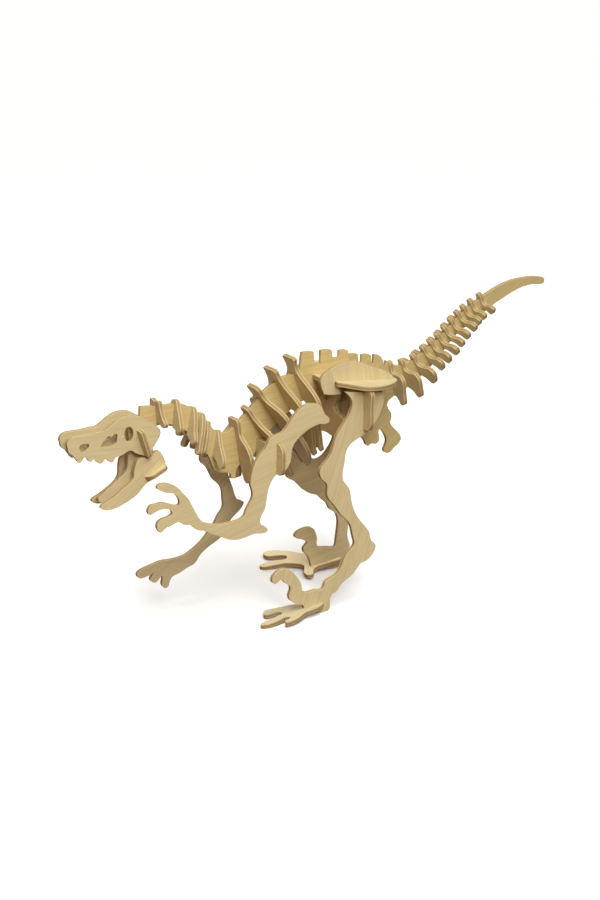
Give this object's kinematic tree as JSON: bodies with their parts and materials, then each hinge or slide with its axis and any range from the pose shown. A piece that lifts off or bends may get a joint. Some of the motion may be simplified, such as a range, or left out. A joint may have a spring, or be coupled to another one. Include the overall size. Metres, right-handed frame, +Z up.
{
  "type": "wooden dinosaur skeleton puzzle",
  "caption": "Running theropod skeleton of flat plywood plates that push together with half-lap slots; stands on two feet with its jaw open and tail raised.",
  "frame": {"origin": "on the ground under the middle of the bounding box", "axes": "+Z up; the animal faces -X, its tail points to +X, its left side is -Y"},
  "size_m": [0.3776, 0.1172, 0.2074],
  "materials": {
    "plywood": "unfinished basswood plywood, matte"
  },
  "bodies": {
    "skeleton": {"front_spine": "plywood", "tail_spine": "plywood", "skull_left": "plywood", "skull_right": "plywood", "skull_crosspiece": "plywood", "jaw_left": "plywood", "jaw_centre": "plywood", "jaw_right": "plywood", "jaw_crosspiece": "plywood", "shoulder_crosspiece": "plywood", "hip_shelf": "plywood", "left_hip_blade": "plywood", "right_hip_blade": "plywood", "hip_crosspiece": "plywood", "pelvis_crosspiece": "plywood", "left_leg": "plywood", "right_leg": "plywood", "left_toes": "plywood", "right_toes": "plywood"},
    "neck_vertebra_1": {"neck_vertebra_1": "plywood"},
    "neck_vertebra_2": {"neck_vertebra_2": "plywood"},
    "neck_vertebra_3": {"neck_vertebra_3": "plywood"},
    "neck_vertebra_4": {"neck_vertebra_4": "plywood"},
    "neck_vertebra_5": {"neck_vertebra_5": "plywood"},
    "neck_vertebra_6": {"neck_vertebra_6": "plywood"},
    "rib_1": {"rib_1": "plywood"},
    "rib_2": {"rib_2": "plywood"},
    "rib_3": {"rib_3": "plywood"},
    "rib_4": {"rib_4": "plywood"},
    "rib_5": {"rib_5": "plywood"},
    "tail_vertebra_1": {"tail_vertebra_1": "plywood"},
    "tail_vertebra_2": {"tail_vertebra_2": "plywood"},
    "tail_vertebra_3": {"tail_vertebra_3": "plywood"},
    "tail_vertebra_4": {"tail_vertebra_4": "plywood"},
    "tail_vertebra_5": {"tail_vertebra_5": "plywood"},
    "tail_vertebra_6": {"tail_vertebra_6": "plywood"},
    "tail_vertebra_7": {"tail_vertebra_7": "plywood"},
    "tail_vertebra_8": {"tail_vertebra_8": "plywood"},
    "tail_vertebra_9": {"tail_vertebra_9": "plywood"},
    "tail_vertebra_10": {"tail_vertebra_10": "plywood"},
    "tail_vertebra_11": {"tail_vertebra_11": "plywood"},
    "tail_vertebra_12": {"tail_vertebra_12": "plywood"},
    "left_arm": {"left_arm": "plywood"},
    "right_arm": {"right_arm": "plywood"}
  },
  "joints": [
    {"name": "neck_vertebra_1_lift", "type": "slide", "parent": "skeleton", "child": "neck_vertebra_1", "axis": [-0.0523, 0, 0.9986], "range_m": [0, 0.0137]},
    {"name": "neck_vertebra_2_lift", "type": "slide", "parent": "skeleton", "child": "neck_vertebra_2", "axis": [0.1564, 0, 0.9877], "range_m": [0, 0.0182]},
    {"name": "neck_vertebra_3_lift", "type": "slide", "parent": "skeleton", "child": "neck_vertebra_3", "axis": [0.2588, 0, 0.9659], "range_m": [0, 0.0222]},
    {"name": "neck_vertebra_4_lift", "type": "slide", "parent": "skeleton", "child": "neck_vertebra_4", "axis": [0.342, 0, 0.9397], "range_m": [0, 0.0254]},
    {"name": "neck_vertebra_5_lift", "type": "slide", "parent": "skeleton", "child": "neck_vertebra_5", "axis": [0.3746, 0, 0.9272], "range_m": [0, 0.0224]},
    {"name": "neck_vertebra_6_lift", "type": "slide", "parent": "skeleton", "child": "neck_vertebra_6", "axis": [0.225, 0, 0.9744], "range_m": [0, 0.0226]},
    {"name": "rib_1_lift", "type": "slide", "parent": "skeleton", "child": "rib_1", "axis": [-0.1392, 0, 0.9903], "range_m": [0, 0.016]},
    {"name": "rib_2_lift", "type": "slide", "parent": "skeleton", "child": "rib_2", "axis": [-0.5299, 0, 0.848], "range_m": [0, 0.0576]},
    {"name": "rib_3_lift", "type": "slide", "parent": "skeleton", "child": "rib_3", "axis": [-0.5592, 0, 0.829], "range_m": [0, 0.0659]},
    {"name": "rib_4_lift", "type": "slide", "parent": "skeleton", "child": "rib_4", "axis": [-0.454, 0, 0.891], "range_m": [0, 0.0626]},
    {"name": "rib_5_lift", "type": "slide", "parent": "skeleton", "child": "rib_5", "axis": [-0.3256, 0, 0.9455], "range_m": [0, 0.0623]},
    {"name": "tail_vertebra_1_lift", "type": "slide", "parent": "skeleton", "child": "tail_vertebra_1", "axis": [-0.2079, 0, 0.9781], "range_m": [0, 0.029]},
    {"name": "tail_vertebra_2_lift", "type": "slide", "parent": "skeleton", "child": "tail_vertebra_2", "axis": [-0.342, 0, 0.9397], "range_m": [0, 0.0254]},
    {"name": "tail_vertebra_3_lift", "type": "slide", "parent": "skeleton", "child": "tail_vertebra_3", "axis": [-0.4695, 0, 0.8829], "range_m": [0, 0.0192]},
    {"name": "tail_vertebra_4_lift", "type": "slide", "parent": "skeleton", "child": "tail_vertebra_4", "axis": [-0.5299, 0, 0.848], "range_m": [0, 0.0165]},
    {"name": "tail_vertebra_5_lift", "type": "slide", "parent": "skeleton", "child": "tail_vertebra_5", "axis": [-0.5446, 0, 0.8387], "range_m": [0, 0.016]},
    {"name": "tail_vertebra_6_lift", "type": "slide", "parent": "skeleton", "child": "tail_vertebra_6", "axis": [-0.5736, 0, 0.8192], "range_m": [0, 0.015]},
    {"name": "tail_vertebra_7_lift", "type": "slide", "parent": "skeleton", "child": "tail_vertebra_7", "axis": [-0.5592, 0, 0.829], "range_m": [0, 0.0144]},
    {"name": "tail_vertebra_8_lift", "type": "slide", "parent": "skeleton", "child": "tail_vertebra_8", "axis": [-0.5299, 0, 0.848], "range_m": [0, 0.0142]},
    {"name": "tail_vertebra_9_lift", "type": "slide", "parent": "skeleton", "child": "tail_vertebra_9", "axis": [-0.5592, 0, 0.829], "range_m": [0, 0.014]},
    {"name": "tail_vertebra_10_lift", "type": "slide", "parent": "skeleton", "child": "tail_vertebra_10", "axis": [-0.5299, 0, 0.848], "range_m": [0, 0.0136]},
    {"name": "tail_vertebra_11_lift", "type": "slide", "parent": "skeleton", "child": "tail_vertebra_11", "axis": [-0.4384, 0, 0.8988], "range_m": [0, 0.0132]},
    {"name": "tail_vertebra_12_lift", "type": "slide", "parent": "skeleton", "child": "tail_vertebra_12", "axis": [-0.3746, 0, 0.9272], "range_m": [0, 0.0128]},
    {"name": "left_arm_lift", "type": "slide", "parent": "skeleton", "child": "left_arm", "axis": [0, 0, 1], "range_m": [0, 0.025]},
    {"name": "right_arm_lift", "type": "slide", "parent": "skeleton", "child": "right_arm", "axis": [0, 0, 1], "range_m": [0, 0.025]}
  ]
}
